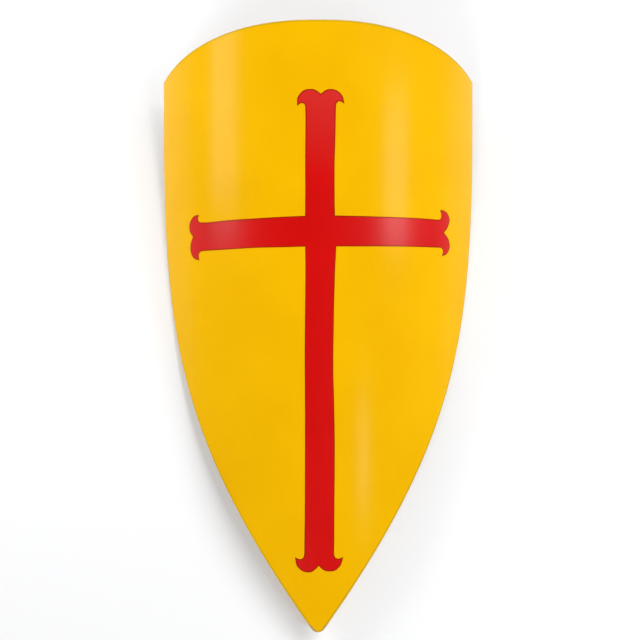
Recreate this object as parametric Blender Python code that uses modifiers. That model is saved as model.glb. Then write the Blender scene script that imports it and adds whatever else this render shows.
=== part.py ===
"""A painted wooden shield lying face up: a bent board, two leather straps on its back, and their screws.

Metres, +Z up. The board is bent round an axis that runs along Y, the point towards -Y. The board and the
straps are laid out flat first, across and along, and then bent. Depth is measured from the painted face
towards the hollow of the bend. All pieces hang from one empty, which lays the shield on the floor.
"""

import math
from collections import namedtuple

import bmesh
import bpy
from mathutils import Matrix, Vector

# The board, measured round its bent face.
BOARD_LENGTH = 0.901
BOARD_WIDTH = 0.621
BOARD_THICKNESS = 0.008
BEND_RADIUS = 0.290
EDGE_ROUND = 0.002

# The arched top: its drop from the crown to the shoulders, and the pulls of its curve.
ARCH_RISE = 0.0515
ARCH_CROWN_PULL = 0.050
ARCH_SHOULDER_PULL = 0.160
ARCH_SHOULDER_SLOPE = math.radians(20.3)
SHOULDER_ROUND = 0.004

# The sides: straight below the shoulders, then one curve down to the rounded point.
SIDE_STRAIGHT = 0.073
SIDE_PULL = 0.309
POINT_PULL = 0.375
POINT_HALF_ANGLE = math.radians(35.6)
POINT_ROUND = 0.012

# The straps: each foot lies flat on the board, and the loop stands off it.
STRAP_CENTRE = 0.570          # along the board, from the point
STRAP_SPACING = 0.200         # between the two straps, measured round the face
STRAP_CORNER_ROUND = 0.010
STRAP_EDGE_ROUND = 0.0008

FOREARM_STRAP_WIDTH = 0.046
FOREARM_STRAP_THICKNESS = 0.004
FOREARM_LOOP_SPAN = 0.170
FOREARM_LOOP_HEIGHT = 0.066

HAND_STRAP_WIDTH = 0.032
HAND_STRAP_THICKNESS = 0.0045
HAND_LOOP_SPAN = 0.130
HAND_LOOP_HEIGHT = 0.048

STRAP_FOOT = 0.042            # length of each flat foot
LOOP_FOOT_PULL = 0.26         # shares of the loop's span: how slowly it leaves the board,
LOOP_CROWN_PULL = 0.34        # and how broad its crown is

# The screws: two side by side in each foot, driven from the back and stopping short of the face.
SCREW_INSET = 0.011           # from the strap's edge
SCREW_HEAD_RADIUS = 0.0042
SCREW_HEAD_HEIGHT = 0.0026
SCREW_SHANK_RADIUS = 0.0017
SCREW_POINT = 0.002
HOLE_SPARE_DEPTH = 0.0008     # beyond the screw's end
WOOD_BEHIND_FACE = 0.0022     # left uncut in front of each hole
SCREW_BITE = BOARD_THICKNESS - WOOD_BEHIND_FACE - HOLE_SPARE_DEPTH

GAP = 0.0003                  # left between pieces that touch

# How finely the curves are cut.
BEND_STEPS = 24               # flat strips in half the board's width
ARCH_STEPS = 18
SIDE_STEPS = 30
ROUND_STEPS = 5
STRAP_STRIPS = 4
LOOP_STEPS = 12               # in half a loop
SCREW_SIDES = 16
MERGE_DISTANCE = 1e-5
MOSTLY = 0.9                  # a direction this near to another counts as the same
FACE, BACK = 0, 1             # the board's two materials, in this order

YELLOW_ENAMEL = (0.940, 0.515, 0.002)
PALE_PLYWOOD = (0.560, 0.370, 0.190)
BROWN_LEATHER = (0.130, 0.048, 0.018)
DULL_STEEL = (0.450, 0.440, 0.420)


# Side is -1 left of the middle line and 1 right of it; span and height are those of the loop.
Strap = namedtuple("Strap", "name side width thickness span height")
FOREARM_STRAP = Strap(
    "forearm_strap", -1, FOREARM_STRAP_WIDTH, FOREARM_STRAP_THICKNESS, FOREARM_LOOP_SPAN, FOREARM_LOOP_HEIGHT
)
HAND_STRAP = Strap("hand_strap", 1, HAND_STRAP_WIDTH, HAND_STRAP_THICKNESS, HAND_LOOP_SPAN, HAND_LOOP_HEIGHT)


def clear_scene():
    for item in list(bpy.data.objects):
        bpy.data.objects.remove(item, do_unlink=True)


def new_collection(name):
    collection = bpy.data.collections.new(name)
    bpy.context.scene.collection.children.link(collection)
    return collection


def new_material(name, colour, roughness, metallic=0.0):
    material = bpy.data.materials.new(name)
    material.use_nodes = True
    shader = material.node_tree.nodes["Principled BSDF"]
    shader.inputs["Base Color"].default_value = (*colour, 1.0)
    shader.inputs["Roughness"].default_value = roughness
    shader.inputs["Metallic"].default_value = metallic
    return material


def bend(angle, along, depth):
    """The place in the bent shield of a point at an angle round the bend, at a depth below the face."""
    reach = BEND_RADIUS - depth
    return Vector((reach * math.sin(angle), along, reach * math.cos(angle) - BEND_RADIUS))


def cubic(start, start_pull, end_pull, end, steps):
    """Points of a cubic curve, from start up to but not including end."""
    points = []
    for step in range(steps):
        t = step / steps
        s = 1.0 - t
        points.append(
            s**3 * start + 3 * s**2 * t * (start + start_pull) + 3 * s * t**2 * (end + end_pull) + t**3 * end
        )
    return points


def arc(centre, radius, first, last, steps):
    """Points of an arc from angle first to angle last, both ends included."""
    angles = [first + (last - first) * step / steps for step in range(steps + 1)]
    return [centre + radius * Vector((math.cos(angle), math.sin(angle))) for angle in angles]


def flat_plate(outline, thickness, edge_round, half=False, corner=None, corner_round=0.0):
    """A flat plate with rounded edges, its face at height 0 and its thickness below.

    The outline runs anticlockwise. With half, it is the right half of the plate, open at the middle line.
    One sharp corner of it can be given a rounding of its own.
    """
    sheet = bmesh.new()
    sheet.faces.new([sheet.verts.new((point.x, point.y, 0.0)) for point in outline])
    if corner:
        nearest = min(sheet.verts, key=lambda vert: (vert.co.xy - corner).length)
        bmesh.ops.bevel(
            sheet, geom=[nearest], offset=corner_round, segments=ROUND_STEPS, profile=0.5, affect="VERTICES"
        )
    data = bpy.data.meshes.new("sheet")
    sheet.to_mesh(data)
    sheet.free()
    item = bpy.data.objects.new("sheet", data)
    bpy.context.scene.collection.objects.link(item)

    if half:
        mirror = item.modifiers.new("left half", "MIRROR")
        mirror.merge_threshold = MERGE_DISTANCE
    solidify = item.modifiers.new("thickness", "SOLIDIFY")
    solidify.thickness = thickness
    solidify.offset = -1.0
    rounding = item.modifiers.new("rounded edges", "BEVEL")
    rounding.width = edge_round
    rounding.segments = 2
    rounding.limit_method = "ANGLE"
    rounding.angle_limit = math.radians(50)

    plate = bmesh.new()
    plate.from_object(item, bpy.context.evaluated_depsgraph_get())
    bpy.data.objects.remove(item, do_unlink=True)
    return plate


def cut_flat(plate, places, direction):
    """Cut a flat plate along the lines that stand at each of these places in a direction."""
    for place in places:
        bmesh.ops.bisect_plane(
            plate,
            geom=plate.verts[:] + plate.edges[:] + plate.faces[:],
            dist=MERGE_DISTANCE,
            plane_co=direction * place,
            plane_no=direction,
        )


def bend_flat(plate, place):
    """Move each point of a flat plate to its place, and split the faces that this would twist."""
    for vert in plate.verts:
        vert.co = place(vert.co)
    bmesh.ops.triangulate(plate, faces=[face for face in plate.faces if len(face.verts) > 4])


def new_object(name, mesh, materials=()):
    data = bpy.data.meshes.new(name)
    mesh.to_mesh(data)
    mesh.free()
    for material in materials:
        data.materials.append(material)
    return bpy.data.objects.new(name, data)


def add_screw_holes(item, cutters):
    holes = item.modifiers.new("screw holes", "BOOLEAN")
    holes.operation = "DIFFERENCE"
    holes.solver = "EXACT"
    holes.operand_type = "COLLECTION"
    holes.collection = cutters


def shade_round(item):
    item.data.shade_smooth()
    item.data.set_sharp_from_angle(angle=math.radians(40))


def board_half_outline():
    """The right half of the flat board, from the crown of the arch round to the point."""
    crown = Vector((0.0, BOARD_LENGTH))
    shoulder = Vector((BOARD_WIDTH / 2, BOARD_LENGTH - ARCH_RISE))
    to_crown = Vector((-math.cos(ARCH_SHOULDER_SLOPE), math.sin(ARCH_SHOULDER_SLOPE)))
    side_top = shoulder - Vector((0.0, SIDE_STRAIGHT))
    point_centre = Vector((0.0, POINT_ROUND))
    point_round = arc(point_centre, POINT_ROUND, -POINT_HALF_ANGLE, -math.pi / 2, ROUND_STEPS)
    point_pull = POINT_PULL * Vector((math.sin(POINT_HALF_ANGLE), math.cos(POINT_HALF_ANGLE)))

    crown_pull = Vector((ARCH_CROWN_PULL, 0.0))
    outline = cubic(crown, crown_pull, ARCH_SHOULDER_PULL * to_crown, shoulder, ARCH_STEPS)
    outline.append(shoulder)
    outline += cubic(side_top, Vector((0.0, -SIDE_PULL)), point_pull, point_round[0], SIDE_STEPS)
    outline += point_round
    return outline


def make_board(cutters, face_material, back_material):
    half_width = BOARD_WIDTH / 2
    plate = flat_plate(
        reversed(board_half_outline()),
        BOARD_THICKNESS,
        EDGE_ROUND,
        half=True,
        corner=Vector((half_width, BOARD_LENGTH - ARCH_RISE)),
        corner_round=SHOULDER_ROUND,
    )
    for face in plate.faces:
        face.material_index = BACK if face.normal.z < -MOSTLY else FACE
    strips = [half_width * step / BEND_STEPS for step in range(1 - BEND_STEPS, BEND_STEPS)]
    cut_flat(plate, strips, Vector((1.0, 0.0, 0.0)))
    bend_flat(plate, lambda flat: bend(flat.x / BEND_RADIUS, flat.y, -flat.z))
    board = new_object("board", plate, [face_material, back_material])
    add_screw_holes(board, cutters)
    shade_round(board)
    return board


def loop_profile(span, height):
    """A strap's run from end to end: points of how far along from its middle, and how far off the board."""
    foot_end = span / 2 + STRAP_FOOT
    foot = Vector((-span / 2, 0.0))
    crown = Vector((0.0, height))
    foot_pull = Vector((LOOP_FOOT_PULL * span, 0.0))
    crown_pull = Vector((-LOOP_CROWN_PULL * span, 0.0))
    rising = cubic(foot, foot_pull, crown_pull, crown, LOOP_STEPS)
    falling = [Vector((-point.x, point.y)) for point in reversed(rising)]
    return [Vector((-foot_end, 0.0))] + rising + [crown] + falling + [Vector((foot_end, 0.0))]


def running_lengths(points):
    lengths = [0.0]
    for before, after in zip(points, points[1:]):
        lengths.append(lengths[-1] + (after - before).length)
    return lengths


def normals_of(points):
    """The direction away from the board at each point of a strap's run, square to the run."""
    normals = []
    for index in range(len(points)):
        run = points[min(index + 1, len(points) - 1)] - points[max(index - 1, 0)]
        normals.append(Vector((-run.y, run.x)).normalized())
    return normals


def share_at(lengths, length):
    """The stretch of a run that holds a length from its start, and the share of that stretch before it."""
    for index in range(1, len(lengths) - 1):
        if length <= lengths[index]:
            break
    else:
        index = len(lengths) - 1
    return index, (length - lengths[index - 1]) / (lengths[index] - lengths[index - 1])


def rounded_strip(width, length, radius):
    """The outline of a flat strap, centred across its width, from 0 to its length."""
    quarter = math.pi / 2
    corners = [(1, 0, -quarter), (1, 1, 0.0), (-1, 1, quarter), (-1, 0, 2 * quarter)]
    outline = []
    for side, end, first in corners:
        across = side * (width / 2 - radius)
        along = length - radius if end else radius
        outline += arc(Vector((across, along)), radius, first, first + quarter, ROUND_STEPS)
    return outline


def middle_angle(strap):
    return strap.side * STRAP_SPACING / 2 / BEND_RADIUS


def make_strap(strap, cutters, material):
    """A leather strap whose two feet lie on the back of the board and whose loop stands off it."""
    run = loop_profile(strap.span, strap.height)
    lengths = running_lengths(run)
    normals = normals_of(run)
    outline = rounded_strip(strap.width, lengths[-1], STRAP_CORNER_ROUND)
    plate = flat_plate(outline, strap.thickness, STRAP_EDGE_ROUND)
    strips = [strap.width * (strip / STRAP_STRIPS - 0.5) for strip in range(1, STRAP_STRIPS)]
    cut_flat(plate, strips, Vector((1.0, 0.0, 0.0)))
    cut_flat(plate, lengths[1:-1], Vector((0.0, 1.0, 0.0)))

    def place(flat):
        index, share = share_at(lengths, flat.y)
        middle = run[index - 1].lerp(run[index], share)
        normal = normals[index - 1].lerp(normals[index], share).normalized()
        off = middle - flat.z * normal
        depth = BOARD_THICKNESS + GAP + off.y
        return bend(middle_angle(strap) + flat.x / (BEND_RADIUS - depth), STRAP_CENTRE + off.x, depth)

    bend_flat(plate, place)
    item = new_object(strap.name, plate, [material])
    add_screw_holes(item, cutters)
    shade_round(item)
    return item


def screw_seats(strap):
    """Where the heads of a strap's four screws sit on it, and how far each is turned round Y."""
    seat_depth = BOARD_THICKNESS + GAP + strap.thickness + GAP
    along = (strap.span + STRAP_FOOT) / 2
    aside = (strap.width / 2 - SCREW_INSET) / (BEND_RADIUS - seat_depth)
    seats = []
    for end in (-1, 1):
        for edge in (-1, 1):
            angle = middle_angle(strap) + edge * aside
            seats.append((bend(angle, STRAP_CENTRE + end * along, seat_depth), angle + math.pi))
    return seats


def set_in_seat(item, seat):
    place, turn = seat
    item.location = place
    item.rotation_euler = (0.0, turn, 0.0)


def make_screw(name, seat, strap, material):
    """A round-head screw, its half section turned about its axis, its head seated at height 0."""
    shank_end = -(GAP + strap.thickness + GAP + SCREW_BITE)
    head = arc(Vector((0.0, 0.0)), 1.0, math.pi / 2, 0.0, ROUND_STEPS)
    section = [Vector((max(p.x, 0.0) * SCREW_HEAD_RADIUS, p.y * SCREW_HEAD_HEIGHT)) for p in head]
    section.append(Vector((SCREW_SHANK_RADIUS, 0.0)))
    section.append(Vector((SCREW_SHANK_RADIUS, shank_end + SCREW_POINT)))
    section.append(Vector((0.0, shank_end)))
    mesh = bmesh.new()
    verts = [mesh.verts.new((point.x, 0.0, point.y)) for point in section]
    for before, after in zip(verts, verts[1:]):
        mesh.edges.new((before, after))

    screw = new_object(name, mesh, [material])
    turned = screw.modifiers.new("turned", "SCREW")
    turned.steps = SCREW_SIDES
    turned.render_steps = SCREW_SIDES
    turned.use_merge_vertices = True
    turned.merge_threshold = MERGE_DISTANCE
    set_in_seat(screw, seat)
    return screw


def make_hole_cutter(seat, strap):
    """A cylinder that clears a screw through the strap and into the board, short of the face."""
    length = SCREW_HEAD_HEIGHT + GAP + strap.thickness + GAP + SCREW_BITE + HOLE_SPARE_DEPTH
    mesh = bmesh.new()
    bmesh.ops.create_cone(
        mesh,
        cap_ends=True,
        segments=SCREW_SIDES,
        radius1=SCREW_SHANK_RADIUS + GAP,
        radius2=SCREW_SHANK_RADIUS + GAP,
        depth=length,
        matrix=Matrix.Translation((0.0, 0.0, SCREW_HEAD_HEIGHT - length / 2)),
    )
    cutter = new_object("screw_hole", mesh)
    cutter.hide_render = True
    cutter.display_type = "WIRE"
    set_in_seat(cutter, seat)
    return cutter


def triangles_of(item):
    """The corners of an object's triangles in the world, with its modifiers applied."""
    evaluated = item.evaluated_get(bpy.context.evaluated_depsgraph_get())
    mesh = evaluated.to_mesh()
    mesh.calc_loop_triangles()
    points = [item.matrix_world @ vert.co for vert in mesh.vertices]
    triangles = [[points[index] for index in triangle.vertices] for triangle in mesh.loop_triangles]
    evaluated.to_mesh_clear()
    return triangles


def centre_of_mass(triangles):
    """The centre of an even solid, summed over the tetrahedra from the origin to each triangle."""
    volume = 0.0
    moment = Vector((0.0, 0.0, 0.0))
    for a, b, c in triangles:
        part = a.dot(b.cross(c)) / 6
        volume += part
        moment += part * (a + b + c) / 4
    return moment / volume


def lower_hull(points):
    """The underside of the convex outline of (along, height) points, from low along to high along."""
    hull = []
    for point in sorted(points, key=lambda p: (p.x, p.y)):
        while len(hull) > 1 and (hull[-1] - hull[-2]).cross(point - hull[-2]) <= 0.0:
            hull.pop()
        hull.append(point)
    return hull


def lay_down(root, board):
    """Tilt the shield onto the stretch of its side edges that carries it, and centre it on the floor."""
    triangles = triangles_of(board)
    centre = centre_of_mass(triangles)
    corners = [corner for triangle in triangles for corner in triangle]
    hull = lower_hull([Vector((corner.y, corner.z)) for corner in corners])
    for before, after in zip(hull, hull[1:]):
        edge = after - before
        weight = Vector((centre.y, centre.z)) - before
        if 0.0 <= weight.dot(edge) <= edge.length_squared:
            tilt = -math.atan2(edge.y, edge.x)
            break
    turned = [Matrix.Rotation(tilt, 3, "X") @ corner for corner in corners]
    low = Vector([min(corner[axis] for corner in turned) for axis in range(3)])
    high = Vector([max(corner[axis] for corner in turned) for axis in range(3)])
    root.rotation_euler = (tilt, 0.0, 0.0)
    root.location = (-(low.x + high.x) / 2, -(low.y + high.y) / 2, -low.z)


def main():
    clear_scene()
    shield = new_collection("painted_shield")
    cutters = new_collection("cutters")
    root = bpy.data.objects.new("resting_shield", None)
    shield.objects.link(root)

    enamel = new_material("yellow enamel", YELLOW_ENAMEL, roughness=0.22)
    plywood = new_material("lacquered plywood", PALE_PLYWOOD, roughness=0.45)
    leather = new_material("brown leather", BROWN_LEATHER, roughness=0.55)
    steel = new_material("dull steel", DULL_STEEL, roughness=0.35, metallic=1.0)

    board = make_board(cutters, enamel, plywood)
    pieces = [board]
    hole_cutters = []
    for strap in (FOREARM_STRAP, HAND_STRAP):
        pieces.append(make_strap(strap, cutters, leather))
        for number, seat in enumerate(screw_seats(strap), start=1):
            pieces.append(make_screw(f"{strap.name}_screw_{number}", seat, strap, steel))
            hole_cutters.append(make_hole_cutter(seat, strap))

    for collection, items in ((shield, pieces), (cutters, hole_cutters)):
        for item in items:
            item.parent = root
            collection.objects.link(item)
    bpy.context.view_layer.update()
    lay_down(root, board)


main()
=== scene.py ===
import math
from collections import namedtuple

import bmesh
import bpy
import numpy as np
from mathutils import Matrix, Vector
from mathutils.geometry import delaunay_2d_cdt
from mathutils.kdtree import KDTree


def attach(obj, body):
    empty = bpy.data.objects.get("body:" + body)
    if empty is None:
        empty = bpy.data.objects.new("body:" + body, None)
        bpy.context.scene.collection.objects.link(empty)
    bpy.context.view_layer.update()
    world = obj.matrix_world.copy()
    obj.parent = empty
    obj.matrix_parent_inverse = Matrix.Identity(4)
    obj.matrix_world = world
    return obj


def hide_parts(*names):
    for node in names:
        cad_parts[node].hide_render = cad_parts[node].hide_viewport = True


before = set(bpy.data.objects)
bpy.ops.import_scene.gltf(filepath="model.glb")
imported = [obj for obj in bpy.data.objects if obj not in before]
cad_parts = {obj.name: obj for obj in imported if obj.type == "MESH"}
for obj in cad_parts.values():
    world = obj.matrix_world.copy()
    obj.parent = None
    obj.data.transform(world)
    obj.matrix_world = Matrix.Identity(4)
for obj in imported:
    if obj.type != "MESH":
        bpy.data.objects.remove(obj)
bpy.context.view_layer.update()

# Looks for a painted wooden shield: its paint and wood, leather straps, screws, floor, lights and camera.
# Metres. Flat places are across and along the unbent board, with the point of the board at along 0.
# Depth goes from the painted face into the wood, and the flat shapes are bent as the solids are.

# The sizes of the solids.
BOARD_LENGTH = 0.901
BOARD_WIDTH = 0.621
BOARD_THICKNESS = 0.008
BEND_RADIUS = 0.290
EDGE_ROUND = 0.002
ARCH_RISE = 0.0515
ARCH_CROWN_PULL = 0.050
ARCH_SHOULDER_PULL = 0.160
ARCH_SHOULDER_SLOPE = math.radians(20.3)
SHOULDER_ROUND = 0.004
SIDE_STRAIGHT = 0.073
SIDE_PULL = 0.309
POINT_PULL = 0.375
POINT_HALF_ANGLE = math.radians(35.6)
POINT_ROUND = 0.012
STRAP_CENTRE = 0.570
STRAP_SPACING = 0.200
STRAP_CORNER_ROUND = 0.010
STRAP_FOOT = 0.042
LOOP_FOOT_PULL = 0.26
LOOP_CROWN_PULL = 0.34
SCREW_INSET = 0.011
SCREW_HEAD_RADIUS = 0.0042
SCREW_HEAD_HEIGHT = 0.0026
SCREW_SHANK_RADIUS = 0.0017
SCREW_POINT = 0.002
SCREW_BITE = 0.005
SCREW_MERGE = 1e-6             # corners of a screw nearer than this are one
SLOT_WIDTH = 0.0009            # of the slot in each screw's head, which the solids leave out
SLOT_DEPTH = 0.0011
SCREW_TURN = 0.9               # how much further each screw is driven round than the one before
GAP = 0.0003
BURNISH_START = 0.0035         # in from a strap's edge, where its dark edge begins
BURNISH_FULL = 0.0004
STRAP_EDGE_ROUND = 0.0012

# The line creased along a strap's edges, on its outer side: rows of inset, dip and lean.
CREASE = [
    (0.0026, 0.0, 0.0),
    (0.0031, 0.00025, 0.5),
    (0.0034, 0.00035, 0.0),
    (0.0037, 0.00025, -0.5),
    (0.0042, 0.0, 0.0),
]

Strap = namedtuple("Strap", "name side width thickness span height")
FOREARM_STRAP = Strap("forearm_strap", -1, width=0.046, thickness=0.004, span=0.170, height=0.066)
HAND_STRAP = Strap("hand_strap", 1, width=0.032, thickness=0.0045, span=0.130, height=0.048)

# How finely the shapes are cut.
OUTLINE_STEP = 0.004
STRAP_OUTLINE_STEP = 0.0025
CROSS_STEP = 0.0025
FACE_CELL = 0.006
BACK_CELL = 0.008
STRAP_CELL = 0.0026
CELL_GAP = 0.55                # share of a cell that a grid point keeps from the lines
ARCH_STEPS = 80
SIDE_STEPS = 180
POINT_STEPS = 10
CORNER_STEPS = 8
ROUND_STEPS = 4
LOOP_STEPS = 40
SCREW_SIDES = 40
SCREW_HEAD_STEPS = 12
SHARP_ANGLE = math.radians(40)
ROUND_PULL = 0.55              # share of its radius by which a cubic's ends pull to make a round
MERGE_DISTANCE = 1e-7          # corners nearer than this are one

# The painted cross: the places of its corners and of the points between them, in millimetres, from the
# notch in its upper end anticlockwise. Each run goes from one sharp corner to the next.
PAINT_LINE = 0.0017
LINE_MARGIN = 0.98             # share of the line's width in which a triangle's middle counts as its own
ARM_START = 0.032              # the arms are brushed across from here out,
ARM_LOW = 0.54                 # between these places along the board
ARM_HIGH = 0.64
SHADED_RIM_BAND = 0.0036              # how far in from the rim the enamel is painted darker, as painted shade on the rounded edge
CROSS_RUNS = [
    [(4.3, 791.6), (-2.4, 796.6), (-9.0, 798.7), (-20.9, 796.8), (-29.8, 787.0), (-30.6, 773.6)],
    [(-30.6, 773.6), (-26.1, 777.3), (-22.2, 777.8), (-19.2, 775.2), (-18.5, 767.0), (-18.4, 745.0),
     (-18.8, 694.0), (-18.7, 650.0), (-18.9, 612.2)],
    [(-18.9, 612.2), (-49.0, 611.6), (-95.0, 610.4), (-147.0, 609.5), (-176.0, 608.8), (-190.0, 609.4),
     (-197.5, 610.4), (-201.3, 613.6), (-201.0, 618.0), (-198.9, 621.9)],
    [(-198.9, 621.9), (-211.5, 620.3), (-221.1, 611.0), (-221.6, 598.7), (-213.2, 588.6)],
    [(-213.2, 588.6), (-219.2, 577.0), (-218.5, 564.4), (-210.6, 554.8), (-198.1, 551.2)],
    [(-198.1, 551.2), (-199.6, 557.0), (-199.0, 561.6), (-195.6, 564.5), (-189.0, 565.2),
     (-147.0, 565.4), (-95.0, 566.3), (-49.0, 566.4), (-18.8, 566.9)],
    [(-18.8, 566.9), (-18.5, 533.0), (-19.5, 410.0), (-19.1, 327.0), (-19.1, 268.0), (-19.4, 180.0),
     (-20.0, 125.0), (-20.4, 113.5), (-22.4, 109.2), (-26.6, 107.7), (-33.9, 110.3)],
    [(-33.9, 110.3), (-30.9, 97.5), (-21.3, 89.4), (-10.0, 88.8), (-4.3, 92.3), (1.2, 98.0)],
    [(1.2, 98.0), (6.8, 92.7), (13.4, 90.0), (24.9, 90.7), (33.7, 98.7), (37.5, 111.0)],
    [(37.5, 111.0), (32.4, 108.7), (28.3, 108.6), (25.1, 110.9), (23.9, 116.0), (24.1, 130.0),
     (24.3, 180.0), (24.9, 268.0), (23.8, 345.0), (22.7, 386.0), (23.8, 474.0), (25.4, 533.0),
     (26.6, 555.0), (27.0, 567.2)],
    [(27.0, 567.2), (63.0, 567.8), (136.0, 569.6), (164.0, 570.2), (200.0, 571.0), (207.6, 571.1),
     (212.2, 568.9), (213.2, 564.2), (209.8, 557.9)],
    [(209.8, 557.9), (222.4, 562.4), (230.2, 573.0), (228.2, 584.0), (222.4, 590.2), (215.6, 595.2)],
    [(215.6, 595.2), (222.0, 600.8), (226.6, 606.8), (230.1, 616.4), (224.6, 626.0), (213.4, 630.0),
     (206.0, 629.5)],
    [(206.0, 629.5), (208.9, 623.8), (208.9, 618.8), (206.2, 615.4), (200.0, 614.5), (164.0, 614.1),
     (136.0, 613.5), (86.0, 612.9), (40.0, 612.9), (25.2, 612.9)],
    [(25.2, 612.9), (24.7, 640.0), (24.7, 694.0), (25.5, 716.0), (26.1, 746.0), (26.4, 768.0),
     (27.3, 777.2), (30.4, 780.6), (34.2, 780.3), (39.3, 777.2)],
    [(39.3, 777.2), (36.2, 789.2), (26.9, 797.2), (16.6, 798.6), (10.8, 796.5), (4.3, 791.6)],
]


def bend(angle, along, depth):
    reach = BEND_RADIUS - depth
    return Vector((reach * math.sin(angle), along, reach * math.cos(angle) - BEND_RADIUS))


def cubic(start, start_pull, end_pull, end, steps):
    """Points of a cubic curve, from start up to but not including end."""
    points = []
    for step in range(steps):
        t = step / steps
        s = 1.0 - t
        near_start = s**3 * start + 3 * s**2 * t * (start + start_pull)
        near_end = 3 * s * t**2 * (end + end_pull) + t**3 * end
        points.append(near_start + near_end)
    return points


def arc(centre, radius, first, last, steps):
    angles = [first + (last - first) * step / steps for step in range(steps + 1)]
    return [centre + radius * Vector((math.cos(angle), math.sin(angle))) for angle in angles]


def smooth_run(points, spacing):
    """A smooth curve through the points, from the first up to but not including the last."""
    padded = [2 * points[0] - points[1]] + points + [2 * points[-1] - points[-2]]
    curve = []
    for before, start, end, after in zip(padded, padded[1:], padded[2:], padded[3:]):
        length = (end - start).length
        start_pull = (end - before) * length / ((start - before).length + length) / 3
        end_pull = (start - after) * length / ((after - end).length + length) / 3
        steps = max(2, math.ceil(length / spacing))
        curve += cubic(start, start_pull, end_pull, end, steps)
    return curve


def evened(outline, spacing):
    """A closed outline with the long stretches between its points cut into shorter ones."""
    even = []
    for start, end in zip(outline, outline[1:] + outline[:1]):
        steps = max(1, round((end - start).length / spacing))
        even += [start.lerp(end, step / steps) for step in range(steps)]
    return even


def board_outline():
    """The flat board's outline, anticlockwise, as the solid has it but more finely cut."""
    crown = Vector((0.0, BOARD_LENGTH))
    shoulder = Vector((BOARD_WIDTH / 2, BOARD_LENGTH - ARCH_RISE))
    to_crown = Vector((-math.cos(ARCH_SHOULDER_SLOPE), math.sin(ARCH_SHOULDER_SLOPE)))
    side_top = shoulder - Vector((0.0, SIDE_STRAIGHT))
    point_middle = Vector((0.0, POINT_ROUND))
    point_round = arc(point_middle, POINT_ROUND, -POINT_HALF_ANGLE, -math.pi / 2, POINT_STEPS)
    point_pull = POINT_PULL * Vector((math.sin(POINT_HALF_ANGLE), math.cos(POINT_HALF_ANGLE)))

    crown_pull = Vector((ARCH_CROWN_PULL, 0.0))
    top = cubic(crown, crown_pull, ARCH_SHOULDER_PULL * to_crown, shoulder, ARCH_STEPS)
    top = [point for point in top if (point - shoulder).length > SHOULDER_ROUND]
    round_start = shoulder + SHOULDER_ROUND * to_crown
    round_end = shoulder - Vector((0.0, SHOULDER_ROUND))
    pull = ROUND_PULL * SHOULDER_ROUND
    half = top + cubic(round_start, -pull * to_crown, Vector((0.0, pull)), round_end, CORNER_STEPS)
    half.append(round_end)
    half += cubic(side_top, Vector((0.0, -SIDE_PULL)), point_pull, point_round[0], SIDE_STEPS)
    half += point_round
    left = [Vector((-point.x, point.y)) for point in half[1:-1]]
    return evened(left + half[::-1], OUTLINE_STEP)


def cross_outline():
    outline = []
    for run in CROSS_RUNS:
        outline += smooth_run([Vector(place) / 1000 for place in run], CROSS_STEP)
    return outline


def inward_directions(outline):
    """The direction into the shape at each point of a closed anticlockwise outline."""
    directions = []
    for before, after in zip(outline[-1:] + outline[:-1], outline[1:] + outline[:1]):
        run = after - before
        directions.append(Vector((-run.y, run.x)).normalized())
    return directions


def inset(outline, amount):
    return [point + amount * inward for point, inward in zip(outline, inward_directions(outline))]


def is_inside(points, outline):
    """Which of the points, an array, lie inside a closed outline."""
    inside = np.zeros(len(points), bool)
    x, y = points[:, 0], points[:, 1]
    for start, end in zip(outline, outline[1:] + outline[:1]):
        if start.y == end.y:
            continue
        spans = (start.y > y) != (end.y > y)
        inside ^= spans & (x < start.x + (y - start.y) * (end.x - start.x) / (end.y - start.y))
    return inside


def distance_to(points, outline):
    """How far each of the points, an array, is from a closed outline."""
    nearest = np.full(len(points), np.inf)
    for start, end in zip(outline, outline[1:] + outline[:1]):
        run = np.array(end - start)
        offset = points - np.array(start)
        share = np.clip(offset @ run / (run @ run), 0.0, 1.0)
        nearest = np.minimum(nearest, np.linalg.norm(offset - share[:, None] * run, axis=1))
    return nearest


def fill(ring, cell, lines):
    """Triangles that fill a closed ring and keep to the lines in it: their corners, and index triples."""
    corners = list(ring)
    edges = []
    for line in lines:
        first = len(corners)
        corners += line
        edges += [(first + step, first + (step + 1) % len(line)) for step in range(len(line))]
    taken = KDTree(len(corners))
    for index, corner in enumerate(corners):
        taken.insert((corner.x, corner.y, 0.0), index)
    taken.balance()

    low = Vector((min(p.x for p in ring), min(p.y for p in ring)))
    high = Vector((max(p.x for p in ring), max(p.y for p in ring)))
    row_height = cell * math.sqrt(3) / 2
    rows = round((high.y - low.y) / row_height)
    columns = round((high.x - low.x) / cell)
    grid = [
        Vector((low.x + (column + 0.5 * (row % 2)) * cell, low.y + row * row_height))
        for row in range(1, rows)
        for column in range(columns + 1)
    ]
    inside = is_inside(np.array([(p.x, p.y) for p in grid]), ring)
    for point, kept in zip(grid, inside):
        if kept and taken.find((point.x, point.y, 0.0))[2] > CELL_GAP * cell:
            corners.append(point)

    outside = list(range(len(ring)))
    filled = delaunay_2d_cdt(corners, edges, [outside], 1, MERGE_DISTANCE)
    found, _, triangles, sources, _, _ = filled
    return found, triangles, sources


def rounded_rim(thickness, edge_round):
    """The rim of a plate from its face to its back: rows of inset, depth and lean away from the face."""
    rows = []
    for step in range(ROUND_STEPS + 1):
        lean = math.pi / 2 * step / ROUND_STEPS
        rows.append((edge_round * (1 - math.sin(lean)), edge_round * (1 - math.cos(lean)), lean))
    for step in range(ROUND_STEPS + 1):
        lean = math.pi / 2 * (1 + step / ROUND_STEPS)
        depth = thickness - edge_round * (1 + math.cos(lean))
        rows.append((edge_round * (1 - math.sin(lean)), depth, lean))
    return rows


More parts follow.
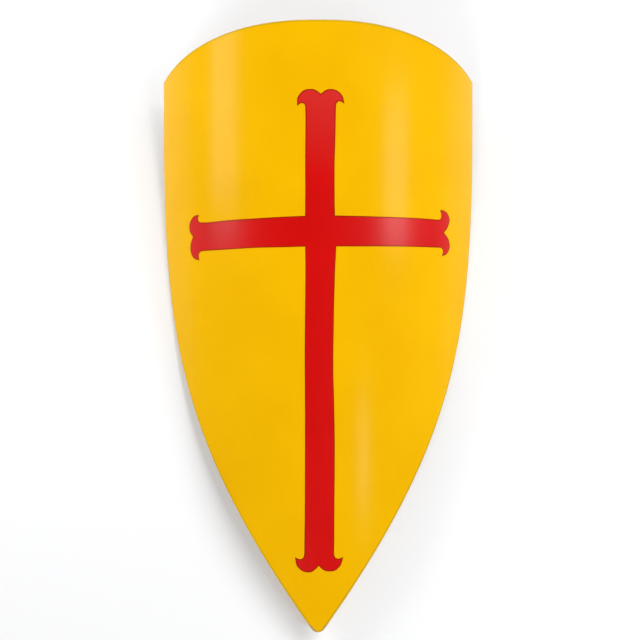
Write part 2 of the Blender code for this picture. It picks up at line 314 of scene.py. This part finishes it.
def make_plate(name, outline, rim, place, cells, materials, face_lines=(), paint=None):
    """A bent plate: its rim swept round the outline, and its face and back filled with small triangles.

    The materials are those of the face, the rim and the back, and then those that paint chooses from.
    """
    on_face, on_rim, on_back = 0, 1, 2
    inward = inward_directions(outline)
    count = len(outline)
    flats = []
    normals = []
    for amount, depth, lean in rim:
        for point, direction in zip(outline, inward):
            at = point + amount * direction
            away = -math.sin(lean) * direction
            flats.append((at.x, at.y, depth))
            normals.append((away.x, away.y, math.cos(lean)))
    faces = []
    looks = []
    for row in range(len(rim) - 1):
        for step in range(count):
            after = (step + 1) % count
            here, below = row * count, (row + 1) * count
            faces.append((here + step, below + step, below + after, here + after))
            looks.append(on_rim)

    for first_row, cell, lines, up in ((0, cells[0], face_lines, 1), (len(rim) - 1, cells[1], (), -1)):
        amount, depth, _ = rim[first_row]
        ring = [point + amount * direction for point, direction in zip(outline, inward)]
        found, triangles, sources = fill(ring, cell, lines)
        index_of = []
        for corner, source in zip(found, sources):
            on_ring = [index for index in source if index < count]
            if on_ring:
                index_of.append(first_row * count + on_ring[0])
            else:
                index_of.append(len(flats))
                flats.append((corner.x, corner.y, depth))
                normals.append((0.0, 0.0, up))
        if paint and up > 0:
            sums = [sum((found[index] for index in triangle), Vector((0, 0))) for triangle in triangles]
            chosen = paint(np.array(sums) / 3)
        else:
            chosen = [on_face if up > 0 else on_back] * len(triangles)
        for triangle, look in zip(triangles, chosen):
            a, b, c = (found[index] for index in triangle)
            is_up = (b - a).cross(c - a) > 0
            corners = [index_of[index] for index in triangle]
            faces.append(corners if is_up == (up > 0) else corners[::-1])
            looks.append(int(look))

    mesh = bpy.data.meshes.new(name)
    mesh.from_pydata([place(*flat) for flat in flats], [], faces)
    for material in materials:
        mesh.materials.append(material)
    mesh.polygons.foreach_set("material_index", looks)
    mesh.polygons.foreach_set("use_smooth", [True] * len(faces))
    flat_places = mesh.attributes.new("flat", "FLOAT_VECTOR", "POINT")
    flat_places.data.foreach_set("vector", np.array(flats).ravel())
    bent_normals = [bent_normal(place, *pair) for pair in zip(flats, normals)]
    mesh.normals_split_custom_set_from_vertices(bent_normals)
    mesh.validate()
    return mesh


def bent_normal(place, flat, normal):
    """A direction of the flat plate as it is turned where it is bent."""
    nudge = 1e-4
    x, y, depth = flat
    across = (place(x + nudge, y, depth) - place(x - nudge, y, depth)).normalized()
    along = (place(x, y + nudge, depth) - place(x, y - nudge, depth)).normalized()
    up = (place(x, y, depth - nudge) - place(x, y, depth + nudge)).normalized()
    return (normal[0] * across + normal[1] * along + normal[2] * up).normalized()


def find_rest(board):
    """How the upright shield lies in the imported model, from the two ends of the board's middle line."""
    slack = 1e-4
    point_reach = 0.01
    middle = [vert.co for vert in board.data.vertices if abs(vert.co.x) < slack]
    crown = max(middle, key=lambda co: co.z)
    point_y = min(co.y for co in middle)
    point = max((co for co in middle if co.y < point_y + point_reach), key=lambda co: co.z)
    run = crown - point
    turn = Matrix.Rotation(math.atan2(run.z, run.y), 4, "X")
    return Matrix.Translation(crown - turn @ Vector((0.0, BOARD_LENGTH - EDGE_ROUND, 0.0))) @ turn


REST = find_rest(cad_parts["board"])


def add_piece(name, mesh, node):
    """Show a mesh in place of a solid of the model."""
    item = bpy.data.objects.new(name, mesh)
    bpy.context.scene.collection.objects.link(item)
    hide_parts(node)
    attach(item, "root")
    return item


EVEN = (1.0, 1.0, 1.0)
STROKES_ALONG = (1.0, 0.06, 1.0)       # brush marks drawn out along the board, or across it
STROKES_ACROSS = (0.06, 1.0, 1.0)


class Nodes:
    """A material's node tree, and short ways to add to it."""

    def __init__(self, name):
        self.material = bpy.data.materials.new(name)
        self.material.use_nodes = True
        self.tree = self.material.node_tree
        self.shader = self.tree.nodes["Principled BSDF"]

    def add(self, kind, inputs=None, **settings):
        node = self.tree.nodes.new(kind)
        for key, value in settings.items():
            setattr(node, key, value)
        for key, value in (inputs or {}).items():
            self.feed(node.inputs[key], value)
        return node

    def feed(self, socket, value):
        if isinstance(value, bpy.types.NodeSocket):
            self.tree.links.new(value, socket)
        else:
            socket.default_value = value

    def put(self, name, value):
        self.feed(self.shader.inputs[name], value)

    def colour(self, value):
        self.put("Base Color", (*value, 1.0) if isinstance(value, tuple) else value)

    def place(self):
        """Where the point is in the flat layout: across, along and depth."""
        return self.add("ShaderNodeAttribute", attribute_name="flat").outputs["Vector"]

    def part(self, vector, index):
        return self.add("ShaderNodeSeparateXYZ", {0: vector}).outputs[index]

    def vectors(self, operation, first, second):
        return self.add("ShaderNodeVectorMath", {0: first, 1: second}, operation=operation).outputs[0]

    def flat(self, stretch=EVEN):
        return self.vectors("MULTIPLY", self.place(), stretch)

    def local(self, stretch=EVEN):
        place = self.add("ShaderNodeTexCoord").outputs["Object"]
        return self.vectors("MULTIPLY", place, stretch)

    def noise(self, place, scale, detail=2.0, roughness=0.5):
        node = self.add("ShaderNodeTexNoise", {"Vector": place, "Scale": scale, "Detail": detail})
        node.inputs["Roughness"].default_value = roughness
        return node.outputs["Fac"]

    def ramp(self, value, low, high, from_low=0.3, from_high=0.7):
        """A value, or a mix of two colours, as another value goes between two limits."""
        limits = {"Value": value, "From Min": from_low, "From Max": from_high}
        share = self.add("ShaderNodeMapRange", limits).outputs["Result"]
        if isinstance(low, tuple):
            return self.mix(share, low, high)
        ends = {"Value": share, "To Min": low, "To Max": high}
        return self.add("ShaderNodeMapRange", ends).outputs["Result"]

    def mix(self, share, low, high):
        """A mix of two colours, for which the node has its inputs 6 and 7 and its output 2."""
        node = self.add("ShaderNodeMix", data_type="RGBA")
        for socket, value in ((node.inputs[0], share), (node.inputs[6], low), (node.inputs[7], high)):
            if isinstance(value, tuple):
                value = (*value, 1.0)
            self.feed(socket, value)
        return node.outputs[2]

    def maths(self, operation, *values):
        return self.add("ShaderNodeMath", dict(enumerate(values)), operation=operation).outputs[0]

    def blend(self, first, second, share):
        """Two values added up, the second by its share and the first by the rest."""
        rest = self.maths("MULTIPLY", first, 1.0 - share)
        return self.maths("ADD", rest, self.maths("MULTIPLY", second, share))

    def bump(self, height, distance, strength=1.0, under=None):
        inputs = {"Height": height, "Distance": distance, "Strength": strength}
        if under:
            inputs["Normal"] = under
        return self.add("ShaderNodeBump", inputs).outputs[0]


YELLOW = (0.865, 0.466, 0.0005)
DEEP_YELLOW = (0.83, 0.434, 0.0004)
# The rim's yellows are darker than the face's: painted shade, for the rounded edge that leans away from
# the light.
SHADED_RIM_YELLOW = (0.68, 0.41, 0.008)
DEEP_SHADED_RIM_YELLOW = (0.60, 0.35, 0.006)
BARE_EDGE = (0.40, 0.31, 0.10)
RED = (0.625, 0.001, 0.0003)
DEEP_RED = (0.575, 0.0007, 0.0003)
# A paler, pinker red for the upper end of the cross: a painted sheen, for the reflection of the lights.
PAINTED_SHEEN_RED = (0.63, 0.021, 0.017)
LINE_RED = (0.37, 0.013, 0.001)
DEEP_LINE_RED = (0.31, 0.010, 0.001)
PALE_WOOD = (0.66, 0.45, 0.245)
DARK_WOOD = (0.46, 0.275, 0.125)
PORE_BROWN = (0.26, 0.14, 0.055)
LEATHER = (0.150, 0.056, 0.021)
DARK_LEATHER = (0.062, 0.023, 0.010)
STEEL = (0.52, 0.51, 0.49)
DULL_STEEL = (0.36, 0.35, 0.335)
FLOOR_WHITE = (0.932, 0.937, 0.947)
GLOSS_TINT = (1.0, 1.0, 0.75, 1.0)     # of what the yellow enamel mirrors

MARK_DEPTH = 0.00002           # of brush marks and turning marks
GRAIN_DEPTH = 0.00012          # of the wood's and the leather's grain
CREASE_DEPTH = 0.0003
ROUGHNESS_SWING = 0.08         # share by which the enamel's roughness goes up and down
RUBBED_REACH = 0.05            # along the board from its point, where the rim is rubbed
SHEEN_START = 0.67              # along the board, where the painted sheen on the red begins
SHEEN_END = 0.80


def enamel(name, light, deep, strokes, gloss, roughness):
    """Gloss enamel with faint brush marks, stretched as strokes says across and along the board."""
    nodes = Nodes(name)
    broad = nodes.noise(nodes.flat(), scale=7.0, detail=3.0)
    marks = nodes.noise(nodes.flat(strokes), scale=260.0, roughness=0.6)
    peel = nodes.noise(nodes.flat(), scale=170.0, detail=1.0)
    tone = nodes.blend(broad, marks, share=0.12)
    relief = nodes.blend(peel, marks, share=0.5)
    swing = ROUGHNESS_SWING * roughness
    nodes.colour(nodes.ramp(tone, deep, light, from_low=0.36, from_high=0.6))
    nodes.put("Normal", nodes.bump(relief, MARK_DEPTH))
    nodes.put("Roughness", nodes.ramp(marks, roughness - swing, roughness + swing))
    nodes.put("Specular IOR Level", gloss)
    return nodes


def yellow_enamel():
    nodes = enamel("yellow enamel", YELLOW, DEEP_YELLOW, STROKES_ALONG, gloss=0.062, roughness=0.2)
    nodes.put("Specular Tint", GLOSS_TINT)
    return nodes.material


def shaded_rim_enamel():
    """The same enamel, painted darker round the rim as painted shade on the rounded edge, and rubbed
    through in places near the point.
    """
    light, deep = SHADED_RIM_YELLOW, DEEP_SHADED_RIM_YELLOW
    nodes = enamel("yellow rim enamel", light, deep, STROKES_ALONG, gloss=0.03, roughness=0.24)
    covered = nodes.shader.inputs["Base Color"].links[0].from_socket
    patches = nodes.noise(nodes.flat(), scale=90.0, detail=3.0, roughness=0.6)
    along = nodes.part(nodes.place(), 1)
    near_point = nodes.ramp(along, 0.3, 0.0, from_low=0.0, from_high=RUBBED_REACH)
    wear = nodes.maths("ADD", patches, near_point)
    rubbed = nodes.ramp(wear, 0.0, 1.0, from_low=0.72, from_high=0.78)
    nodes.colour(nodes.mix(rubbed, covered, BARE_EDGE))
    return nodes.material


def red_enamel(name, strokes):
    """Red enamel, paler and pinker towards the upper end of the cross: a painted sheen, standing in for
    the reflection of the lights there.
    """
    nodes = enamel(name, RED, DEEP_RED, strokes, gloss=0.25, roughness=0.3)
    plain_red = nodes.shader.inputs["Base Color"].links[0].from_socket
    along = nodes.part(nodes.place(), 1)
    # the painted sheen: paler, pinker red mixed in towards the upper end of the cross
    sheen_share = nodes.ramp(along, 0.0, 1.0, from_low=SHEEN_START, from_high=SHEEN_END)
    nodes.colour(nodes.mix(sheen_share, plain_red, PAINTED_SHEEN_RED))
    return nodes.material


def paint_line():
    return enamel("red paint line", LINE_RED, DEEP_LINE_RED, EVEN, gloss=0.06, roughness=0.3).material


def plywood():
    """The clear-lacquered back: grain that runs along the board, and fine dark pores."""
    nodes = Nodes("lacquered plywood")
    wander = nodes.noise(nodes.flat((5.0, 1.2, 0.0)), scale=1.0)
    aside = nodes.vectors("MULTIPLY", wander, (0.06, 0.0, 0.0))
    grain = nodes.vectors("ADD", nodes.flat((1.0, 0.035, 0.0)), aside)
    bands = nodes.noise(grain, scale=60.0, detail=4.0, roughness=0.55)
    fibres = nodes.noise(nodes.flat((1.0, 0.02, 0.0)), scale=900.0)
    pores = nodes.noise(nodes.flat((1.0, 0.05, 0.0)), scale=1500.0, detail=1.0)
    tone = nodes.blend(bands, fibres, share=0.25)
    wood = nodes.ramp(tone, DARK_WOOD, PALE_WOOD, from_low=0.36, from_high=0.62)
    in_pore = nodes.ramp(pores, 0.0, 0.5, from_low=0.66, from_high=0.76)
    nodes.colour(nodes.mix(in_pore, wood, PORE_BROWN))
    nodes.put("Normal", nodes.bump(tone, GRAIN_DEPTH))
    nodes.put("Roughness", nodes.ramp(bands, 0.34, 0.48))
    nodes.put("Specular IOR Level", 0.4)
    return nodes.material


def leather(half_width):
    """Waxed brown leather: pebbled grain, soft creases across, and edges burnished dark."""
    nodes = Nodes("brown leather")
    cells = {"Vector": nodes.flat(), "Scale": 900.0}
    pebbles = nodes.add("ShaderNodeTexVoronoi", cells, feature="SMOOTH_F1").outputs[0]
    creases = nodes.noise(nodes.flat((0.25, 1.0, 0.0)), scale=160.0, detail=3.0, roughness=0.6)
    patches = nodes.noise(nodes.flat(), scale=45.0, detail=3.0, roughness=0.6)
    tone = nodes.blend(patches, creases, share=0.3)
    hide = nodes.ramp(tone, DARK_LEATHER, LEATHER, from_low=0.34, from_high=0.62)
    aside = nodes.maths("ABSOLUTE", nodes.part(nodes.place(), 0))
    start, full = half_width - BURNISH_START, half_width - BURNISH_FULL
    burnish = nodes.ramp(aside, 0.0, 0.85, from_low=start, from_high=full)
    nodes.colour(nodes.mix(burnish, hide, DARK_LEATHER))
    grain = nodes.bump(nodes.maths("SUBTRACT", 1.0, pebbles), GRAIN_DEPTH, strength=0.6)
    nodes.put("Normal", nodes.bump(creases, CREASE_DEPTH, strength=0.5, under=grain))
    nodes.put("Roughness", nodes.ramp(tone, 0.58, 0.44))
    nodes.put("Specular IOR Level", 0.4)
    return nodes.material


def steel():
    """Dull zinc-plated steel with faint turning marks and grey blotches."""
    nodes = Nodes("dull steel")
    blotches = nodes.noise(nodes.local(), scale=420.0, detail=3.0, roughness=0.6)
    marks = nodes.noise(nodes.local((1.0, 1.0, 14.0)), scale=900.0)
    nodes.colour(nodes.ramp(blotches, DULL_STEEL, STEEL, from_low=0.35, from_high=0.62))
    nodes.put("Metallic", 1.0)
    nodes.put("Roughness", nodes.ramp(blotches, 0.46, 0.3))
    nodes.put("Normal", nodes.bump(marks, MARK_DEPTH))
    return nodes.material


def make_board():
    cross = cross_outline()
    cross_inner = inset(cross, PAINT_LINE)

    materials = [
        yellow_enamel(),
        shaded_rim_enamel(),
        plywood(),
        paint_line(),
        red_enamel("red enamel along", STROKES_ALONG),
        red_enamel("red enamel across", STROKES_ACROSS),
    ]
    line, red_along, red_across = 3, 4, 5      # their places among the materials

    def paint(centres):
        looks = np.zeros(len(centres), int)
        red = is_inside(centres, cross)
        across, along = centres[red].T
        in_arm = (abs(across) > ARM_START) & (along > ARM_LOW) & (along < ARM_HIGH)
        in_line = distance_to(centres[red], cross) < LINE_MARGIN * PAINT_LINE
        looks[red] = np.where(in_line, line, np.where(in_arm, red_across, red_along))
        return looks

    mesh = make_plate(
        "board_looks",
        board_outline(),
        # first a band of the face in from the rim, in the rim's painted shade
        [(SHADED_RIM_BAND, 0.0, 0.0)] + rounded_rim(BOARD_THICKNESS, EDGE_ROUND),
        lambda x, y, depth: REST @ bend(x / BEND_RADIUS, y, depth),
        (FACE_CELL, BACK_CELL),
        materials,
        [cross, cross_inner],
        paint,
    )
    add_piece("board_looks", mesh, "board")


def loop_profile(span, height):
    foot_end = span / 2 + STRAP_FOOT
    foot_pull = Vector((LOOP_FOOT_PULL * span, 0.0))
    crown_pull = Vector((-LOOP_CROWN_PULL * span, 0.0))
    rising = cubic(Vector((-span / 2, 0.0)), foot_pull, crown_pull, Vector((0.0, height)), LOOP_STEPS)
    falling = [Vector((-point.x, point.y)) for point in reversed(rising)]
    loop = rising + [Vector((0.0, height))] + falling
    return [Vector((-foot_end, 0.0))] + loop + [Vector((foot_end, 0.0))]


def make_strap(strap, material):
    run = loop_profile(strap.span, strap.height)
    lengths = [0.0]
    for before, after in zip(run, run[1:]):
        lengths.append(lengths[-1] + (after - before).length)
    normals = []
    for before, after in zip(run[:1] + run[:-1], run[1:] + run[-1:]):
        normals.append(Vector((before.y - after.y, after.x - before.x)).normalized())
    middle_angle = strap.side * STRAP_SPACING / 2 / BEND_RADIUS

    def place(x, y, depth):
        index = min(max(int(np.searchsorted(lengths, y)), 1), len(lengths) - 1)
        share = (y - lengths[index - 1]) / (lengths[index] - lengths[index - 1])
        normal = normals[index - 1].lerp(normals[index], share).normalized()
        off = run[index - 1].lerp(run[index], share) + depth * normal
        board_depth = BOARD_THICKNESS + GAP + off.y
        angle = middle_angle + x / (BEND_RADIUS - board_depth)
        return REST @ bend(angle, STRAP_CENTRE + off.x, board_depth)

    quarter = math.pi / 2
    outline = []
    for side, end, first in ((1, 0, -quarter), (1, 1, 0.0), (-1, 1, quarter), (-1, 0, 2 * quarter)):
        corner = Vector((side * (strap.width / 2 - STRAP_CORNER_ROUND), STRAP_CORNER_ROUND))
        if end:
            corner.y = lengths[-1] - STRAP_CORNER_ROUND
        outline += arc(corner, STRAP_CORNER_ROUND, first, first + quarter, CORNER_STEPS)
    outline = evened(outline, STRAP_OUTLINE_STEP)
    rim = rounded_rim(strap.thickness, STRAP_EDGE_ROUND)
    rim += [(amount, strap.thickness - dip, math.pi + lean) for amount, dip, lean in CREASE]
    name = strap.name + "_looks"
    mesh = make_plate(name, outline, rim, place, (STRAP_CELL, STRAP_CELL), [material] * 3)
    add_piece(name, mesh, strap.name)


def screw_mesh(strap, material):
    """A round-head screw standing on the strap, its axis upwards and a slot across its head."""
    shank_end = -(GAP + strap.thickness + GAP + SCREW_BITE)
    section = [
        Vector((max(point.x, 0.0) * SCREW_HEAD_RADIUS, point.y * SCREW_HEAD_HEIGHT))
        for point in arc(Vector((0.0, 0.0)), 1.0, math.pi / 2, 0.0, SCREW_HEAD_STEPS)
    ]
    section += [
        Vector((SCREW_SHANK_RADIUS, 0.0)),
        Vector((SCREW_SHANK_RADIUS, shank_end + SCREW_POINT)),
        Vector((0.0, shank_end)),
    ]
    shape = bmesh.new()
    verts = [shape.verts.new((point.x, 0.0, point.y)) for point in section]
    edges = [shape.edges.new(pair) for pair in zip(verts, verts[1:])]
    bmesh.ops.spin(
        shape,
        geom=verts + edges,
        axis=(0, 0, 1),
        cent=(0, 0, 0),
        angle=2 * math.pi,
        steps=SCREW_SIDES,
        use_merge=True,
    )
    bmesh.ops.remove_doubles(shape, verts=shape.verts[:], dist=SCREW_MERGE)
    bmesh.ops.recalc_face_normals(shape, faces=shape.faces[:])
    mesh = bpy.data.meshes.new("screw")
    shape.to_mesh(mesh)
    shape.free()
    mesh = slotted(mesh)
    mesh.materials.append(material)
    return mesh


def slotted(mesh):
    """The screw with a straight slot cut across its head."""
    shape = bmesh.new()
    size = Matrix.Diagonal((3 * SCREW_HEAD_RADIUS, SLOT_WIDTH, 2 * SLOT_DEPTH, 1.0))
    top = Matrix.Translation((0.0, 0.0, SCREW_HEAD_HEIGHT))
    bmesh.ops.create_cube(shape, size=1.0, matrix=top @ size)
    cutter_mesh = bpy.data.meshes.new("slot")
    shape.to_mesh(cutter_mesh)
    shape.free()
    screw = bpy.data.objects.new("screw", mesh)
    cutter = bpy.data.objects.new("slot", cutter_mesh)
    for item in (screw, cutter):
        bpy.context.scene.collection.objects.link(item)
    cut = screw.modifiers.new("slot", "BOOLEAN")
    cut.operation = "DIFFERENCE"
    cut.solver = "EXACT"
    cut.object = cutter
    shown = screw.evaluated_get(bpy.context.evaluated_depsgraph_get())
    result = bpy.data.meshes.new_from_object(shown)
    for item in (screw, cutter):
        bpy.data.objects.remove(item)
    return result


def make_screws(strap, material):
    seat_depth = BOARD_THICKNESS + GAP + strap.thickness + GAP
    along = (strap.span + STRAP_FOOT) / 2
    aside = (strap.width / 2 - SCREW_INSET) / (BEND_RADIUS - seat_depth)
    number = 0
    for end in (-1, 1):
        for edge in (-1, 1):
            number += 1
            angle = strap.side * STRAP_SPACING / 2 / BEND_RADIUS + edge * aside
            seat = Matrix.Translation(bend(angle, STRAP_CENTRE + end * along, seat_depth))
            seat = seat @ Matrix.Rotation(angle + math.pi, 4, "Y")
            seat = seat @ Matrix.Rotation(SCREW_TURN * number, 4, "Z")
            node = f"{strap.name}_screw_{number}"
            mesh = screw_mesh(strap, material)
            mesh.transform(REST @ seat)
            mesh.shade_smooth()
            mesh.set_sharp_from_angle(angle=SHARP_ANGLE)
            add_piece(node + "_looks", mesh, node)


make_board()
steel_material = steel()
for strap in (FOREARM_STRAP, HAND_STRAP):
    make_strap(strap, leather(strap.width / 2))
    make_screws(strap, steel_material)

# The floor, the light and the camera.
CAMERA_DISTANCE = 1.25         # from the ridge of the shield, square to its face
CAMERA_ALONG = 0.4592          # where the middle of the picture falls on the board
CAMERA_ASIDE = 0.0031
PICTURE_HALF_WIDTH = 320       # in pixels
PIXELS_A_METRE = 681           # at the ridge of the shield
SENSOR_WIDTH = 36.0
BOARD_MIDDLE = Vector((0.0, 0.45, 0.0))
FLOOR_REACH = 20.0
WALL_LIGHT = 0.46              # the studio's own light, dimmer overhead
CEILING_LIGHT = 0.15
WALL_TOP = 0.45                # heights in a direction of unit length, between which it gets dimmer
CEILING_EDGE = 0.9

# Each softbox: degrees aside, distance, lowest and highest place along the board, width, power in watts.
SOFTBOXES = [
    ("left", -68.5, 1.48, 0.83, 1.5, 0.51, 10.9),
    ("right", 56.0, 1.48, 0.72, 1.16, 0.44, 7.7),
    ("low right", 32.0, 1.6, -0.16, 0.17, 0.2, 3.2),
]

# Each panel: middle, width and power in watts.
PANELS = [
    ("upper right", (3.1, 5.0, 4.7), 2.8, 184),
    ("lower left", (-1.5, -2.6, 3.1), 1.8, 71),
]


def make_floor():
    mesh = bpy.data.meshes.new("floor")
    corners = [(x * FLOOR_REACH, y * FLOOR_REACH, 0) for x, y in ((-1, -1), (1, -1), (1, 1), (-1, 1))]
    mesh.from_pydata(corners, [], [(0, 1, 2, 3)])
    nodes = Nodes("pale floor")
    nodes.colour(FLOOR_WHITE)
    nodes.put("Roughness", 0.9)
    nodes.put("Specular IOR Level", 0.1)
    mesh.materials.append(nodes.material)
    floor = bpy.data.objects.new("floor", mesh)
    bpy.context.scene.collection.objects.link(floor)


def add_light(name, size, power, matrix):
    light = bpy.data.lights.new(name, "AREA")
    light.shape = "RECTANGLE"
    light.size, light.size_y = size
    light.energy = power
    item = bpy.data.objects.new(name, light)
    bpy.context.scene.collection.objects.link(item)
    item.matrix_world = REST @ matrix


def add_softbox(name, aside_degrees, distance, along_low, along_high, width, power):
    """A softbox that faces the shield, at an angle to one side of the camera's line of sight."""
    angle = math.radians(aside_degrees)
    along = (along_low + along_high) / 2
    centre = Vector((distance * math.sin(angle), along, distance * math.cos(angle)))
    matrix = Matrix.Translation(centre) @ Matrix.Rotation(angle, 4, "Y")
    add_light(name, (width, along_high - along_low), power, matrix)


def add_panel(name, centre, width, power):
    """A broad square light that faces the middle of the board from further off."""
    centre = Vector(centre)
    turn = (centre - BOARD_MIDDLE).to_track_quat("Z", "Y").to_matrix().to_4x4()
    add_light(name, (width, width), power, Matrix.Translation(centre) @ turn)


def make_lights():
    world = bpy.data.worlds.new("studio")
    bpy.context.scene.world = world
    world.use_nodes = True
    tree = world.node_tree
    direction = tree.nodes.new("ShaderNodeTexCoord").outputs["Generated"]
    parts = tree.nodes.new("ShaderNodeSeparateXYZ")
    darker = tree.nodes.new("ShaderNodeMapRange")
    tree.links.new(direction, parts.inputs[0])
    tree.links.new(parts.outputs["Z"], darker.inputs["Value"])
    darker.inputs["From Min"].default_value = WALL_TOP
    darker.inputs["From Max"].default_value = CEILING_EDGE
    darker.inputs["To Min"].default_value = WALL_LIGHT
    darker.inputs["To Max"].default_value = CEILING_LIGHT
    tree.links.new(darker.outputs["Result"], tree.nodes["Background"].inputs["Strength"])
    tree.nodes["Background"].inputs["Color"].default_value = (1.0, 1.0, 1.0, 1.0)
    for place, *measures in SOFTBOXES:
        add_softbox(place + " softbox", *measures)
    for place, *measures in PANELS:
        add_panel(place + " panel", *measures)


def make_camera():
    bpy.context.scene.view_settings.view_transform = "Standard"
    camera = bpy.data.cameras.new("camera")
    camera.sensor_width = SENSOR_WIDTH
    camera.lens = SENSOR_WIDTH / 2 * CAMERA_DISTANCE * PIXELS_A_METRE / PICTURE_HALF_WIDTH
    item = bpy.data.objects.new("camera", camera)
    bpy.context.scene.collection.objects.link(item)
    item.matrix_world = REST @ Matrix.Translation((CAMERA_ASIDE, CAMERA_ALONG, CAMERA_DISTANCE))
    bpy.context.scene.camera = item


make_floor()
make_lights()
make_camera()
